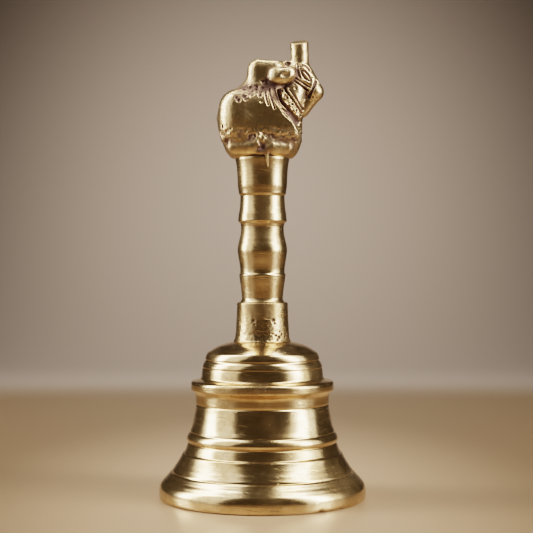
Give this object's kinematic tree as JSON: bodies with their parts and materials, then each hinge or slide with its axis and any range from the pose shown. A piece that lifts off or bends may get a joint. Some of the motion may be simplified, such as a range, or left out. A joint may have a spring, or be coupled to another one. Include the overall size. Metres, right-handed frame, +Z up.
{
  "type": "hand bell",
  "caption": "Cast brass hand bell for worship: stepped flaring cup, turned stem with a couchant bull finial, and a ball clapper on a wire link",
  "frame": {"origin": "centre of the mouth, on the plane that the rim rests on", "axes": "+Z up the stem to the bull, +X the way the bull faces, clapper hanging at rest"},
  "size_m": [0.068, 0.068, 0.1504],
  "materials": {
    "turned_brass": "turned and polished, fine rings left by the tool",
    "rough_brass": "cast skin, filed by hand",
    "stem_brass": "turned and polished",
    "cast_brass": "cast and buffed, dark in the recesses",
    "bolt_steel": "plain, dulled",
    "link_wire": "drawn wire",
    "clapper_brass": "turned, worn where it strikes"
  },
  "bodies": {
    "bell": {"bell_cup": "turned_brass", "neck_collar": "rough_brass", "handle_stem": "stem_brass", "bull_finial": "cast_brass", "eye_bolt": "bolt_steel", "crown_washer": "bolt_steel", "lock_nut": "bolt_steel"},
    "link": {"link_ring": "link_wire"},
    "clapper": {"clapper_shank": "clapper_brass", "clapper_bob": "clapper_brass"}
  },
  "joints": [
    {"name": "link_sway", "type": "hinge", "parent": "bell", "child": "link", "pos_m": [0, 0, 0.0349], "axis": [1, 0, 0], "range_deg": [-12, 12]},
    {"name": "clapper_swing", "type": "hinge", "parent": "link", "child": "clapper", "pos_m": [0, 0, 0.03012], "axis": [0, 1, 0], "range_deg": [-45, 45]}
  ]
}
